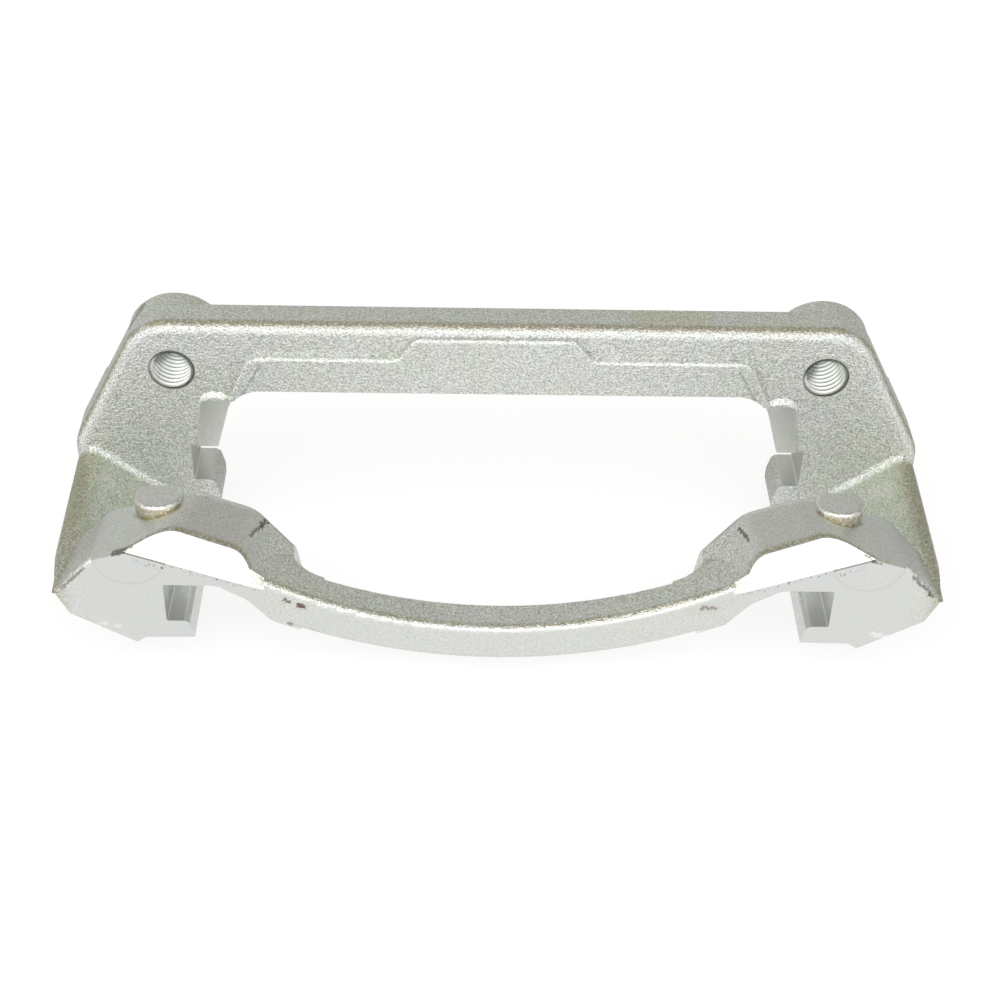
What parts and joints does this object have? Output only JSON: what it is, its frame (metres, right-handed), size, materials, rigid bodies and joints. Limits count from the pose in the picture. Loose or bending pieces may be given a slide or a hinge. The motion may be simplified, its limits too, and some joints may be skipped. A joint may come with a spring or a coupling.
{
  "type": "brake caliper bracket",
  "caption": "Cast bracket for a sliding brake caliper: a plate with threaded mounting holes, arms over the disc, slots for the pad ears, and a bowed tie bar on the outer side",
  "frame": {"origin": "Midway between the axes of the two mounting threads, on the machined faces that meet the knuckle", "axes": "+X from one mounting thread to the other, +Y inboard along the axle, out of the mounting faces, +Z towards the axle"},
  "size_m": [0.267, 0.0877, 0.082],
  "materials": {
    "plated_casting": "satin"
  },
  "bodies": {
    "root": {"caliper_bracket": "plated_casting"}
  },
  "joints": []
}
